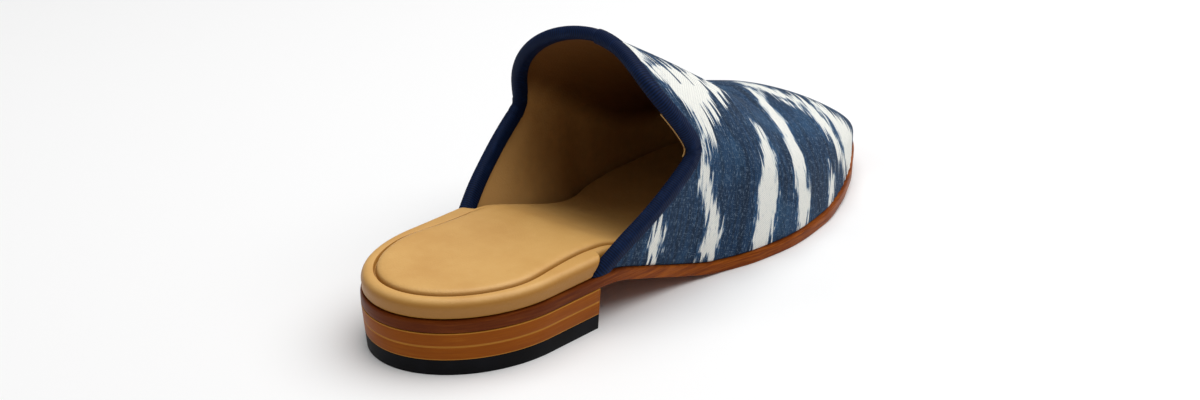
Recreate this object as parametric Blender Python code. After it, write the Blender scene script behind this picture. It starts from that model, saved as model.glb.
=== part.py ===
"""A right-foot mule: a cloth vamp with a raised tongue, a bound topline, a padded leather footbed
and a low stacked leather heel. Metres, +Z up, +Y towards the toe, +X towards the outside of the foot.
The origin is on the floor, under the middle of the shoe's bounding box.
"""

import math

import bmesh
import bpy
import numpy as np

MM = 0.001

# Driving sizes
SHOE_LENGTH = 285 * MM
BALL_WIDTH = 100.6 * MM
WAIST_WIDTH = 76.5 * MM
HEEL_WIDTH = 73.4 * MM
TOE_WIDTH = 65 * MM
HEEL_CURVE = 46 * MM
TOE_CURVE = 45 * MM
SWING = 3 * MM
GAP = 0.3 * MM

# Sole and heel
SOLE_THICKNESS = 4.7 * MM
EDGE_CHAMFER = 0.7 * MM
TOE_SPRING = 8.5 * MM
HEEL_LENGTH = 70.5 * MM
LIFT_THICKNESS = 5 * MM
LIFT_COUNT = 2
TOP_PIECE_THICKNESS = 5.9 * MM
HEEL_TAPER = 1.3 * MM

# Footbed
FOOTBED_THICKNESS = 7 * MM
FOOTBED_SETBACK = 0.5 * MM
RIM_ROUND = 2.8 * MM
SOCK_SETBACK = 4.8 * MM
GROOVE_WIDTH = 1.1 * MM
GROOVE_DEPTH = 0.9 * MM

# Upper
WALL = 2.2 * MM
WELT_LEDGE = 1.3 * MM
FEATHER_LIFT = 0.5 * MM
TONGUE_HEIGHT = 97 * MM
TOE_BOX_HEIGHT = 29 * MM
NOSE_CURVE = 60 * MM
FLARE = 8.2 * MM
RIDGE_LEAN = 3.4 * MM

# Topline
WING_START = 68.5 * MM
KINK_PLACE = 116.3 * MM
TONGUE_PLACE = 113 * MM
TONGUE_SWELL = 5.5 * MM
OUTER_SWELL = 6.3 * MM
KINK_ROUND = 4.7 * MM

# Binding
BINDING_WIDTH = 6.2 * MM
BINDING_TAPE = 0.8 * MM

# Sampling of the curves
HEEL_STATIONS = 14
SEAT_STATIONS = 5
SIDE_STATIONS = 34
TOE_STATIONS = 13
STATION_SPARE = SHOE_LENGTH / 190
SMALL_STEP = SHOE_LENGTH / 1400
UPPER_COLUMNS = 54
UPPER_ROWS = 26

HEEL_RISE = TOP_PIECE_THICKNESS + LIFT_COUNT * LIFT_THICKNESS + (LIFT_COUNT + 1) * GAP

# Plan of the sole. Share of the length, width here, share of the swing to the outside.
PLAN_TABLE = (
    (0.00, HEEL_WIDTH, -0.90),
    (0.15, HEEL_WIDTH, -0.25),
    (0.25, 0.70 * HEEL_WIDTH + 0.30 * WAIST_WIDTH, -0.05),
    (0.40, WAIST_WIDTH, 0.15),
    (0.48, 0.72 * WAIST_WIDTH + 0.28 * BALL_WIDTH, 0.20),
    (0.55, 0.25 * WAIST_WIDTH + 0.75 * BALL_WIDTH, 0.15),
    (0.64, BALL_WIDTH, 0.00),
    (0.72, 0.982 * BALL_WIDTH, -0.45),
    (0.80, 0.885 * BALL_WIDTH, -0.80),
    (0.86, 0.60 * BALL_WIDTH + 0.25 * TOE_WIDTH, -0.95),
    (0.93, 0.02 * BALL_WIDTH + 0.985 * TOE_WIDTH, -1.05),
    (1.00, TOE_WIDTH, -1.10),
)

# Underside of the sole, ahead of the heel. Share of the way from the heel's front to the tread, share of the rise.
ARCH_TABLE = (
    (0.00, 1.00),
    (0.12, 0.96),
    (0.33, 0.71),
    (0.68, 0.24),
    (0.88, 0.04),
    (1.00, 0.00),
)
TREAD_START = 0.505
TREAD_END = 0.675
SPRING_POWER = 1.8

# Footbed thickness. Share of the length, share of the thickness at the heel.
FOOTBED_TABLE = (
    (0.00, 1.00),
    (0.30, 1.00),
    (0.50, 0.90),
    (0.68, 0.74),
    (0.90, 0.60),
    (1.00, 0.52),
)

# Sections of the upper. Share of the length, top as a share of the way from toe box to tongue,
# widest place as a share of the height, share of the flare, fullness of the arch, share of the ridge's lean,
# and how much less full the arch is on the outside, where a foot slopes more.
SECTION_TABLE = (
    (0.20, 1.17, 0.54, 1.18, 1.9, 0.80, 0.20),
    (0.30, 1.10, 0.55, 1.12, 1.9, 0.90, 0.20),
    (0.39, 1.00, 0.56, 1.00, 1.9, 1.00, 0.20),
    (0.49, 0.80, 0.52, 0.66, 1.9, 1.00, 0.18),
    (0.58, 0.585, 0.44, 0.20, 1.95, 0.60, 0.12),
    (0.655, 0.40, 0.37, 0.10, 2.05, 0.50, 0.06),
    (0.72, 0.325, 0.34, 0.05, 2.1, 0.50, 0.02),
    (0.81, 0.225, 0.33, 0.03, 2.15, 0.40, 0.00),
    (0.90, 0.120, 0.34, 0.00, 2.2, 0.25, 0.00),
    (1.00, 0.00, 0.36, 0.00, 2.2, 0.00, 0.00),
)
WALL_SHARE = 0.42
RIDGE_EASE = 0.08
NOSE_POWER = 2.1

COLOURS = {
    "indigo_cloth": ((0.045, 0.115, 0.235), 0.85),
    "navy_tape": ((0.008, 0.016, 0.050), 0.70),
    "tan_leather": ((0.560, 0.350, 0.150), 0.50),
    "sole_leather": ((0.270, 0.095, 0.030), 0.40),
    "stacked_leather": ((0.330, 0.135, 0.040), 0.42),
    "black_rubber": ((0.010, 0.011, 0.014), 0.60),
}


def clear_scene():
    for old in list(bpy.data.objects):
        bpy.data.objects.remove(old)


def material(name):
    colour, roughness = COLOURS[name]
    made = bpy.data.materials.get(name)
    if made is None:
        made = bpy.data.materials.new(name)
        made.use_nodes = True
        shader = made.node_tree.nodes["Principled BSDF"]
        shader.inputs["Base Color"].default_value = (*colour, 1)
        shader.inputs["Roughness"].default_value = roughness
        shader.inputs["Metallic"].default_value = 0
    return made


def curve_through(table, column):
    """A smooth curve through one column of a table, with no overshoot between its rows."""
    xs = np.array([row[0] for row in table], float)
    ys = np.array([row[column] for row in table], float)
    steps = np.diff(xs)
    slopes = np.diff(ys) / steps
    tangents = np.zeros(len(xs))
    for i in range(1, len(xs) - 1):
        before, after = slopes[i - 1], slopes[i]
        if before * after > 0:
            first = 2 * steps[i] + steps[i - 1]
            second = steps[i] + 2 * steps[i - 1]
            tangents[i] = (first + second) / (first / before + second / after)
    tangents[0], tangents[-1] = slopes[0], slopes[-1]

    def value(x):
        x = np.clip(x, xs[0], xs[-1])
        i = np.clip(np.searchsorted(xs, x, side="right") - 1, 0, len(steps) - 1)
        t = (x - xs[i]) / steps[i]
        rise = ys[i] * (1 + 2 * t) * (1 - t) ** 2 + ys[i + 1] * t * t * (3 - 2 * t)
        return rise + steps[i] * t * (1 - t) * (tangents[i] * (1 - t) - tangents[i + 1] * t)

    return value


def smooth_step(low, high, x):
    t = np.clip((x - low) / (high - low), 0, 1)
    return t * t * (3 - 2 * t)


plan_width = curve_through(PLAN_TABLE, 1)
plan_swing = curve_through(PLAN_TABLE, 2)
arch_share = curve_through(ARCH_TABLE, 1)
footbed_share = curve_through(FOOTBED_TABLE, 1)
section_top = curve_through(SECTION_TABLE, 1)
section_widest = curve_through(SECTION_TABLE, 2)
section_flare = curve_through(SECTION_TABLE, 3)
section_fullness = curve_through(SECTION_TABLE, 4)
section_lean = curve_through(SECTION_TABLE, 5)
section_slope = curve_through(SECTION_TABLE, 6)


def end_rounding(along, length):
    """1 along the middle, falling to 0 at both ends as two half ellipses do."""
    heel = np.clip(1 - along / HEEL_CURVE, 0, 1)
    toe = np.clip(1 - (length - along) / TOE_CURVE, 0, 1)
    return np.sqrt(1 - heel**2) * np.sqrt(1 - toe**2)


def half_width(along):
    return plan_width(along / SHOE_LENGTH) / 2 * end_rounding(along, SHOE_LENGTH)


def centre_line(along):
    return SWING * plan_swing(along / SHOE_LENGTH)


def stations(start=0.0, end=SHOE_LENGTH):
    """Places along the shoe, closer together round the heel and the toe."""
    heel = HEEL_CURVE * (1 - np.cos(np.linspace(0, math.pi / 2, HEEL_STATIONS)))
    seat = np.linspace(HEEL_CURVE, HEEL_LENGTH, SEAT_STATIONS)
    side = np.linspace(HEEL_LENGTH, SHOE_LENGTH - TOE_CURVE, SIDE_STATIONS)
    toe = SHOE_LENGTH - TOE_CURVE * (1 - np.sin(np.linspace(0, math.pi / 2, TOE_STATIONS)))
    places = np.concatenate([heel[:-1], seat[:-1], side, toe[1:]])
    inside = places[(places > start + STATION_SPARE) & (places < end - STATION_SPARE)]
    return np.concatenate([[start], inside, [end]])


def side_shift():
    """What moves the ball's two sides to equal distances from the Y axis."""
    along = np.linspace(0, SHOE_LENGTH, 400)
    outer = (centre_line(along) + half_width(along)).max()
    inner = (centre_line(along) - half_width(along)).min()
    return -(outer + inner) / 2


SIDE_SHIFT = side_shift()
BACK_SHIFT = -SHOE_LENGTH / 2


def outline(inset, start=0.0, end=SHOE_LENGTH):
    """The sole's plan as a closed loop, moved inwards by inset: heel, outside, toe, inside."""
    along = stations(0.0, SHOE_LENGTH)
    whole = end >= SHOE_LENGTH
    if not whole:
        along = np.concatenate([along[along < end - STATION_SPARE], [end]])
    middle = centre_line(along)
    half = half_width(along)
    last = -1 if whole else None
    x = np.concatenate([middle + half, (middle - half)[1:last][::-1]])
    y = np.concatenate([along, along[1:last][::-1]])
    loop = np.stack([x, y], 1)
    towards = np.roll(loop, -1, 0) - np.roll(loop, 1, 0)
    if not whole:
        front = len(along) - 1
        towards[front] = loop[front] - loop[front - 1]
        towards[front + 1] = loop[front + 2] - loop[front + 1]
    normal = np.stack([towards[:, 1], -towards[:, 0]], 1)
    normal /= np.linalg.norm(normal, axis=1)[:, None]
    depth = inset(loop[:, 1]) if callable(inset) else np.full(len(loop), inset)
    moved = loop - normal * depth[:, None]
    if not whole:
        moved[front, 1] = moved[front + 1, 1] = end
    return moved


def sole_underside(along):
    """Height of the outsole's underside: over the heel, down the arch, flat at the tread, up at the toe."""
    tread_start = TREAD_START * SHOE_LENGTH
    tread_end = TREAD_END * SHOE_LENGTH
    down = np.clip((along - HEEL_LENGTH) / (tread_start - HEEL_LENGTH), 0, 1)
    up = np.clip((along - tread_end) / (SHOE_LENGTH - tread_end), 0, 1)
    return HEEL_RISE * arch_share(down) + TOE_SPRING * up**SPRING_POWER


def sole_top(along):
    return sole_underside(along) + SOLE_THICKNESS


def place(points):
    """Moves points from heel-based measures to the shoe's own origin."""
    moved = np.array(points, float)
    moved[..., 0] += SIDE_SHIFT
    moved[..., 1] += BACK_SHIFT
    return moved


def new_object(name, points, faces, finish, smooth_angle=35):
    mesh = bpy.data.meshes.new(name)
    mesh.from_pydata([tuple(p) for p in place(points)], [], faces)
    solid = bmesh.new()
    solid.from_mesh(mesh)
    bmesh.ops.recalc_face_normals(solid, faces=solid.faces)
    solid.to_mesh(mesh)
    solid.free()
    mesh.shade_smooth()
    mesh.set_sharp_from_angle(angle=math.radians(smooth_angle))
    mesh.materials.append(material(finish))
    made = bpy.data.objects.new(name, mesh)
    bpy.context.scene.collection.objects.link(made)
    return made


def rungs(loop, count, first, whole):
    """Faces across a plan loop, joining each place on the outside to the same place on the inside."""
    faces = []
    last = count // 2 if whole else (count - 1) // 2
    for i in range(last):
        right, right_next = i, i + 1
        left, left_next = (count - i) % count, (count - i - 1) % count
        corners = [loop[right], loop[right_next], loop[left_next], loop[left]]
        kept = [c for k, c in enumerate(corners) if c not in corners[:k]]
        if len(kept) > 2:
            faces.append(kept if first else kept[::-1])
    return faces


def solid_of_rings(name, rings, finish, whole=True):
    """A closed solid through plan loops, from its underside to its top, with rungs across both ends."""
    count = len(rings[0])
    points = np.concatenate(rings)
    faces = []
    for r in range(len(rings) - 1):
        for i in range(count):
            j = (i + 1) % count
            faces.append([r * count + i, r * count + j, (r + 1) * count + j, (r + 1) * count + i])
    faces += rungs(list(range(count)), count, True, whole)
    top = (len(rings) - 1) * count
    faces += rungs([top + i for i in range(count)], count, False, whole)
    return new_object(name, points, faces, finish)


def ring(inset, height, end=SHOE_LENGTH):
    """A plan loop at one inset, with its height a number or a function of the place along the shoe."""
    loop = outline(inset, end=end)
    z = height(loop[:, 1]) if callable(height) else np.full(len(loop), height)
    return np.column_stack([loop, z])


def build_outsole():
    rings = [
        ring(EDGE_CHAMFER, sole_underside),
        ring(0, lambda y: sole_underside(y) + EDGE_CHAMFER),
        ring(0, lambda y: sole_top(y) - EDGE_CHAMFER),
        ring(EDGE_CHAMFER, sole_top),
    ]
    return solid_of_rings("outsole", rings, "sole_leather")


def heel_slice(name, low, high, finish):
    """One layer of the heel, under the outsole, with the heel's taper."""

    def inset(z):
        return HEEL_TAPER * (1 - z / HEEL_RISE)

    rings = [ring(inset(z), z, end=HEEL_LENGTH) for z in (low, high)]
    return solid_of_rings(name, rings, finish, whole=False)


def build_heel():
    made = [heel_slice("heel_top_piece", 0, TOP_PIECE_THICKNESS, "black_rubber")]
    low = TOP_PIECE_THICKNESS + GAP
    for i in range(LIFT_COUNT):
        made.append(heel_slice(f"heel_lift_{i + 1}", low, low + LIFT_THICKNESS, "stacked_leather"))
        low += LIFT_THICKNESS + GAP
    return made


def footbed_edge(along):
    """How far the footbed's side stands in from the outsole's edge: flush at the heel, inside the wings ahead."""
    inside_wing = WELT_LEDGE + WALL + BINDING_TAPE + 2 * GAP
    inside_upper = WELT_LEDGE + WALL + 3 * GAP
    tuck = smooth_step(0.86 * WING_START, 0.975 * WING_START, along)
    ease = smooth_step(WING_START + 3 * BINDING_WIDTH, WING_START + 6 * BINDING_WIDTH, along)
    return FOOTBED_SETBACK + (inside_wing - FOOTBED_SETBACK) * tuck - (inside_wing - inside_upper) * ease


def sock_edge(along):
    """How far the groove round the sock stands in from the outsole's edge."""
    return FOOTBED_SETBACK + SOCK_SETBACK + 0.75 * (footbed_edge(along) - FOOTBED_SETBACK)


def footbed_top(along):
    return FOOTBED_THICKNESS * footbed_share(along / SHOE_LENGTH)


def build_footbed():
    """A padded footbed with a rounded rim, and a groove round the sock on top."""
    quarter = np.radians([0, 30, 60, 90])
    profile = [(0.4 * RIM_ROUND, 0.0), (0.0, 0.12)]
    for angle in quarter:
        # The rim's rounding, as insets and as the part of the height that it takes off.
        profile.append((RIM_ROUND * (1 - math.cos(angle)), 1 - 0.45 * (1 - math.sin(angle))))
    rings = []
    for depth, share in profile:
        rings.append(
            ring(
                lambda y, d=depth: footbed_edge(y) + d,
                lambda y, s=share: sole_top(y) + GAP + s * footbed_top(y),
            )
        )
    for depth, drop in ((0, 0), (GROOVE_WIDTH / 2, GROOVE_DEPTH), (GROOVE_WIDTH, 0)):
        rings.append(
            ring(
                lambda y, d=depth: sock_edge(y) + d,
                lambda y, d=drop: sole_top(y) + GAP + footbed_top(y) - d,
            )
        )
    return solid_of_rings("footbed", rings, "tan_leather")


UPPER_END = SHOE_LENGTH - WELT_LEDGE


def feather_half(along):
    """Half the upper's width where it meets the outsole."""
    stretched = along * SHOE_LENGTH / UPPER_END
    widths = plan_width(along / SHOE_LENGTH) / 2 * end_rounding(stretched, SHOE_LENGTH)
    return np.maximum(widths - WELT_LEDGE * end_rounding(stretched, SHOE_LENGTH), 0)


def ridge_height(along):
    """Height of the upper's top line over the floor, before the nose is rounded off."""
    return TOE_BOX_HEIGHT + (TONGUE_HEIGHT - TOE_BOX_HEIGHT) * section_top(along / SHOE_LENGTH)


def nose(along):
    run = np.clip((along - (UPPER_END - NOSE_CURVE)) / NOSE_CURVE, 0, 1)
    return (1 - run**NOSE_POWER) ** (1 / NOSE_POWER)


def upper_surface(turn, along):
    """A point of the upper's outer face. turn runs from -1, the inside feather edge, over 0, the ridge,
    to 1, the outside feather edge. along is the place from the heel's back."""
    turn = np.asarray(turn, float)
    along = np.asarray(along, float)
    side = np.where(turn < 0, -1.0, 1.0)
    climb = 1 - np.abs(turn)
    share = along / SHOE_LENGTH
    base = sole_top(along) + FEATHER_LIFT
    height = (ridge_height(along) - base) * nose(along)
    narrow = feather_half(along)
    wide = narrow + FLARE * section_flare(share)
    full = section_fullness(share) - np.where(turn > 0, section_slope(share), 0)
    widest = section_widest(share)
    up_wall = climb / WALL_SHARE
    over = np.clip((climb - WALL_SHARE) / (1 - WALL_SHARE), 0, 1) * math.pi / 2
    on_wall = climb < WALL_SHARE
    reach = np.where(
        on_wall,
        narrow + (wide - narrow) * np.sin(np.minimum(up_wall, 1) * math.pi / 2),
        wide * np.cos(over) ** (2 / full),
    )
    rise = np.where(
        on_wall,
        height * widest * up_wall,
        height * (widest + (1 - widest) * np.sin(over) ** (2 / full)),
    )
    lean = RIDGE_LEAN * section_lean(share) * np.clip(climb, 0, 1) ** 1.2 * nose(along)
    x = centre_line(along) - lean + side * reach
    return np.stack(np.broadcast_arrays(x, along, base + rise), -1)


def upper_normal(turn, along):
    """The outward normal of the upper's outer face, by differences."""
    small_turn = 1e-3
    back = np.minimum(along, UPPER_END - 2 * SMALL_STEP)
    across = upper_surface(turn + small_turn, back) - upper_surface(turn - small_turn, back)
    ahead = upper_surface(turn, back + SMALL_STEP) - upper_surface(turn, back - SMALL_STEP)
    normal = np.cross(across, ahead)
    return normal / np.linalg.norm(normal, axis=-1, keepdims=True)


def topline(turn):
    """Place along the shoe of the opening's edge, at each turn round the upper."""
    climb = 1 - np.hypot(turn, RIDGE_EASE)
    kink = WALL_SHARE
    wing = WING_START + (KINK_PLACE - WING_START) * climb / kink
    over = (climb - kink) / (1 - kink)
    held = np.clip(over, 0, 1)
    swell = TONGUE_SWELL * np.sin(math.pi * held**0.85)
    swell = swell + OUTER_SWELL * smooth_step(0, kink, turn) * np.sin(math.pi * held) ** 2
    tongue = KINK_PLACE + (TONGUE_PLACE - KINK_PLACE) * over - swell
    tongue = np.where(over < 0, KINK_PLACE - 17 * TONGUE_SWELL * over, tongue)
    return (wing + tongue - np.sqrt((wing - tongue) ** 2 + KINK_ROUND**2)) / 2


def mid_wall(turn, along):
    return upper_surface(turn, along) - WALL / 2 * upper_normal(turn, along)


def edge_moved(turn, distance):
    """The turn and place of the topline moved by distance into the upper, over its surface."""
    small_turn = 1e-3
    along = topline(turn)
    here = mid_wall(turn, along)
    by_turn = (mid_wall(turn + small_turn, along) - mid_wall(turn - small_turn, along)) / (2 * small_turn)
    by_along = (mid_wall(turn, along + SMALL_STEP) - here) / SMALL_STEP
    slope = (topline(turn + small_turn) - topline(turn - small_turn)) / (2 * small_turn)
    edge = by_turn + by_along * slope[..., None]
    edge /= np.linalg.norm(edge, axis=-1, keepdims=True)
    inwards = np.cross(edge, upper_normal(turn, along))
    inwards *= np.sign((inwards * by_along).sum(-1, keepdims=True))
    aa = (by_turn * by_turn).sum(-1)
    ab = (by_turn * by_along).sum(-1)
    bb = (by_along * by_along).sum(-1)
    pa = (by_turn * inwards).sum(-1)
    pb = (by_along * inwards).sum(-1)
    scale = aa * bb - ab * ab
    turned = turn + distance * (pa * bb - pb * ab) / scale
    moved = along + distance * (pb * aa - pa * ab) / scale
    return turned, moved


def even_turns(count):
    """Turns spaced evenly by length along the topline, closer together at the kinks."""
    dense = np.linspace(-1, 1, 1600)
    path = mid_wall(dense, topline(dense))
    steps = np.linalg.norm(np.diff(path, axis=0), axis=1)
    middles = (np.abs(dense[1:]) + np.abs(dense[:-1])) / 2
    weight = 1 + 4 * np.exp(-(((1 - middles - WALL_SHARE) / 0.045) ** 2))
    travelled = np.concatenate([[0], np.cumsum(steps * weight)])
    return np.interp(np.linspace(0, travelled[-1], count), travelled, dense)


def build_upper():
    """The vamp as one wall: outer face, inner face, the edge in the binding and the feather edge below."""
    turns = even_turns(UPPER_COLUMNS)
    spread = np.linspace(-1.15, 1.15, 400)
    start_turn, start_along = edge_moved(spread, BINDING_TAPE + GAP)
    first = np.interp(turns, start_turn, start_along)
    steps = np.linspace(0, 1, UPPER_ROWS + 1)[:-1]
    shares = 0.25 * steps + 0.75 * np.sin(steps * math.pi / 2)
    along = first[None, :] + (UPPER_END - first[None, :]) * shares[:, None]
    turn_grid = np.broadcast_to(turns, along.shape)
    outer = upper_surface(turn_grid, along)
    inner = outer - WALL * upper_normal(turn_grid, along)
    base = sole_top(UPPER_END) + FEATHER_LIFT
    tip = np.array([centre_line(UPPER_END), UPPER_END, base])
    tips = np.array([tip, tip - [0, WALL, 0]])
    rows, columns = along.shape
    size = rows * columns
    points = np.concatenate([outer.reshape(-1, 3), inner.reshape(-1, 3), tips])

    def outside(r, c):
        return r * columns + c

    def inside(r, c):
        return size + r * columns + c

    faces = []
    for r in range(rows - 1):
        for c in range(columns - 1):
            faces.append([outside(r, c), outside(r, c + 1), outside(r + 1, c + 1), outside(r + 1, c)])
            faces.append([inside(r, c), inside(r + 1, c), inside(r + 1, c + 1), inside(r, c + 1)])
    outer_tip, inner_tip = 2 * size, 2 * size + 1
    for c in range(columns - 1):
        faces.append([outside(0, c + 1), outside(0, c), inside(0, c), inside(0, c + 1)])
        faces.append([outside(rows - 1, c), outside(rows - 1, c + 1), outer_tip])
        faces.append([inside(rows - 1, c + 1), inside(rows - 1, c), inner_tip])
    for c, flip in ((0, False), (columns - 1, True)):
        for r in range(rows - 1):
            face = [outside(r, c), outside(r + 1, c), inside(r + 1, c), inside(r, c)]
            faces.append(face[::-1] if flip else face)
        face = [outside(rows - 1, c), outer_tip, inner_tip, inside(rows - 1, c)]
        faces.append(face[::-1] if flip else face)
    return new_object("upper", points, faces, "indigo_cloth", smooth_angle=50)


def binding_section():
    """The folded tape across its width: depth over the upper from the fold, and offset from the wall's middle."""
    outer = WALL / 2 + GAP + BINDING_TAPE
    inner = WALL / 2 + GAP
    fold = [(outer * (1 - math.cos(a)) * 0.8, outer * math.sin(a)) for a in np.radians([75, 45, 15, -15, -45, -75])]
    ends = 0.35 * BINDING_TAPE
    near = [(BINDING_WIDTH, inner + ends), (BINDING_WIDTH - ends, outer)]
    far = [(BINDING_WIDTH - ends, -outer), (BINDING_WIDTH, -inner - ends), (BINDING_WIDTH, -inner)]
    slot = [(BINDING_TAPE, -inner), (BINDING_TAPE, inner), (BINDING_WIDTH, inner)]
    return near + fold + far + slot


def build_binding():
    """The tape folded over the topline, run past both feather edges and cut level with the outsole's top."""
    past = 1 + np.array([0.05, 0.11, 0.18])
    turns = np.concatenate([-past[::-1], even_turns(UPPER_COLUMNS), past])
    section = binding_section()
    count = len(section)
    columns = []
    for depth, offset in section:
        turned, along = edge_moved(turns, depth)
        columns.append(mid_wall(turned, along) + offset * upper_normal(turned, along))
    points = np.stack(columns, 1).reshape(-1, 3)
    faces = []
    for s in range(len(turns) - 1):
        for i in range(count):
            j = (i + 1) % count
            faces.append([s * count + i, s * count + j, (s + 1) * count + j, (s + 1) * count + i])
    faces.append(list(range(count))[::-1])
    faces.append([(len(turns) - 1) * count + i for i in range(count)])
    made = new_object("binding", points, faces, "navy_tape")
    cut = made.modifiers.new("level with the outsole", "BOOLEAN")
    cut.operation = "DIFFERENCE"
    cut.solver = "EXACT"
    cut.object = sole_cutter()
    return made


def sole_cutter():
    """Everything under the line where the upper meets the outsole, wider than the shoe."""
    along = stations()[1:-1]
    side = BALL_WIDTH
    floor = -0.5 * BALL_WIDTH
    top = sole_top(along) + GAP
    points = []
    for y, z in zip(along, top):
        points += [(-side, y, floor), (side, y, floor), (side, y, z), (-side, y, z)]
    faces = []
    for s in range(len(along) - 1):
        for i in range(4):
            j = (i + 1) % 4
            faces.append([4 * s + i, 4 * s + j, 4 * s + 4 + j, 4 * s + 4 + i])
    faces.append([0, 1, 2, 3])
    faces.append([4 * (len(along) - 1) + i for i in range(4)])
    cutter = new_object("sole_cutter", np.array(points), faces, "sole_leather")
    cutter.hide_render = True
    cutter.display_type = "WIRE"
    return cutter


def main():
    clear_scene()
    build_heel()
    build_outsole()
    build_footbed()
    build_upper()
    build_binding()


main()
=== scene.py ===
# A right-foot mule: indigo ikat cloth, navy tape, tan leather and a low stacked heel.
import math

import bpy
import numpy as np
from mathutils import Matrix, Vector


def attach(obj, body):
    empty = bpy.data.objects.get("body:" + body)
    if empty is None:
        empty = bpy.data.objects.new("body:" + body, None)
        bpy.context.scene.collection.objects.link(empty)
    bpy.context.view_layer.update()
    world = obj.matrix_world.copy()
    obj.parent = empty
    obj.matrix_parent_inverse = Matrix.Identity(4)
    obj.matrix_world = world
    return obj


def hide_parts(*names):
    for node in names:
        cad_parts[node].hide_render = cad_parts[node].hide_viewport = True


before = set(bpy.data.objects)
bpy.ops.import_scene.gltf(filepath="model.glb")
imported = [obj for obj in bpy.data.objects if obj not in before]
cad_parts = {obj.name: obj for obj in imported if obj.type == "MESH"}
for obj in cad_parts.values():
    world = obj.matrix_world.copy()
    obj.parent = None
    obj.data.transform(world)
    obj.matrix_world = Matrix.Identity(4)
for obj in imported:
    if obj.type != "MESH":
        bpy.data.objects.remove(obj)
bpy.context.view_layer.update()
mm = 0.001
print("frame loaded:", ", ".join(sorted(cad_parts)))

# The last: the same sizes as the solids. Places along the shoe are measured from the heel's back.
last = {
    "length": 285 * mm,
    "ball": 100.6 * mm,
    "waist": 76.5 * mm,
    "heel": 73.4 * mm,
    "toe": 65 * mm,
    "heelCurve": 46 * mm,
    "toeCurve": 45 * mm,
    "swing": 3 * mm,
    "soleThickness": 4.7 * mm,
    "toeSpring": 8.5 * mm,
    "springPower": 1.8,
    "treadStart": 0.505,    # shares of the length
    "treadEnd": 0.675,
    "heelLength": 70.5 * mm,
    "liftThickness": 5 * mm,
    "topPiece": 5.9 * mm,
    "gap": 0.3 * mm,
    "wall": 2.2 * mm,
    "ledge": 1.3 * mm,
}
heelRise = last["topPiece"] + 2 * last["liftThickness"] + 3 * last["gap"]
length = last["length"]

# share of the length, width, share of the swing
planRows = (
    (0.00, last["heel"], -0.90),
    (0.15, last["heel"], -0.25),
    (0.25, 0.70 * last["heel"] + 0.30 * last["waist"], -0.05),
    (0.40, last["waist"], 0.15),
    (0.48, 0.72 * last["waist"] + 0.28 * last["ball"], 0.20),
    (0.55, 0.25 * last["waist"] + 0.75 * last["ball"], 0.15),
    (0.64, last["ball"], 0.00),
    (0.72, 0.982 * last["ball"], -0.45),
    (0.80, 0.885 * last["ball"], -0.80),
    (0.86, 0.60 * last["ball"] + 0.25 * last["toe"], -0.95),
    (0.93, 0.02 * last["ball"] + 0.985 * last["toe"], -1.05),
    (1.00, last["toe"], -1.10),
)
# share of the way from breast to tread, share of the heel's rise
archRows = ((0.00, 1.00), (0.12, 0.96), (0.33, 0.71), (0.68, 0.24), (0.88, 0.04), (1.00, 0.00))
# share of the length, share of the footbed's thickness
footbedRows = ((0.00, 1.00), (0.30, 1.00), (0.50, 0.90), (0.68, 0.74), (0.90, 0.60), (1.00, 0.52))
# share of the length, ridge, widest place, flare, fullness, lean, how much less full the outside is
sectionRows = (
    (0.20, 1.17, 0.54, 1.18, 1.9, 0.80, 0.20),
    (0.30, 1.10, 0.55, 1.12, 1.9, 0.90, 0.20),
    (0.39, 1.00, 0.56, 1.00, 1.9, 1.00, 0.20),
    (0.49, 0.80, 0.52, 0.66, 1.9, 1.00, 0.18),
    (0.58, 0.585, 0.44, 0.20, 1.95, 0.60, 0.12),
    (0.655, 0.40, 0.37, 0.10, 2.05, 0.50, 0.06),
    (0.72, 0.325, 0.34, 0.05, 2.1, 0.50, 0.02),
    (0.81, 0.225, 0.33, 0.03, 2.15, 0.40, 0.00),
    (0.90, 0.120, 0.34, 0.00, 2.2, 0.25, 0.00),
    (1.00, 0.00, 0.36, 0.00, 2.2, 0.00, 0.00),
)


def curveThrough(rows, column):
    xs = np.array([row[0] for row in rows], float)
    ys = np.array([row[column] for row in rows], float)
    steps = np.diff(xs)
    slopes = np.diff(ys) / steps
    tangents = np.zeros(len(xs))
    for i in range(1, len(xs) - 1):
        before, after = slopes[i - 1], slopes[i]
        if before * after > 0:
            first, second = 2 * steps[i] + steps[i - 1], steps[i] + 2 * steps[i - 1]
            tangents[i] = (first + second) / (first / before + second / after)
    tangents[0], tangents[-1] = slopes[0], slopes[-1]

    def value(x):
        x = np.clip(x, xs[0], xs[-1])
        i = np.clip(np.searchsorted(xs, x, side="right") - 1, 0, len(steps) - 1)
        t = (x - xs[i]) / steps[i]
        rise = ys[i] * (1 + 2 * t) * (1 - t) ** 2 + ys[i + 1] * t * t * (3 - 2 * t)
        return rise + steps[i] * t * (1 - t) * (tangents[i] * (1 - t) - tangents[i + 1] * t)

    return value


def smoothStep(low, high, x):
    t = np.clip((x - low) / (high - low), 0, 1)
    return t * t * (3 - 2 * t)


planWidth, planSwing = curveThrough(planRows, 1), curveThrough(planRows, 2)
archShare, footbedShare = curveThrough(archRows, 1), curveThrough(footbedRows, 1)
sectionTop, sectionWidest, sectionFlare, sectionFull, sectionLean, sectionSlope = (
    curveThrough(sectionRows, column) for column in range(1, 7)
)


def endRounding(along):
    heel = np.clip(1 - along / last["heelCurve"], 0, 1)
    toe = np.clip(1 - (length - along) / last["toeCurve"], 0, 1)
    return np.sqrt(1 - heel**2) * np.sqrt(1 - toe**2)


def halfWidth(along):
    return planWidth(along / length) / 2 * endRounding(along)


def centreLine(along):
    return last["swing"] * planSwing(along / length)


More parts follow.
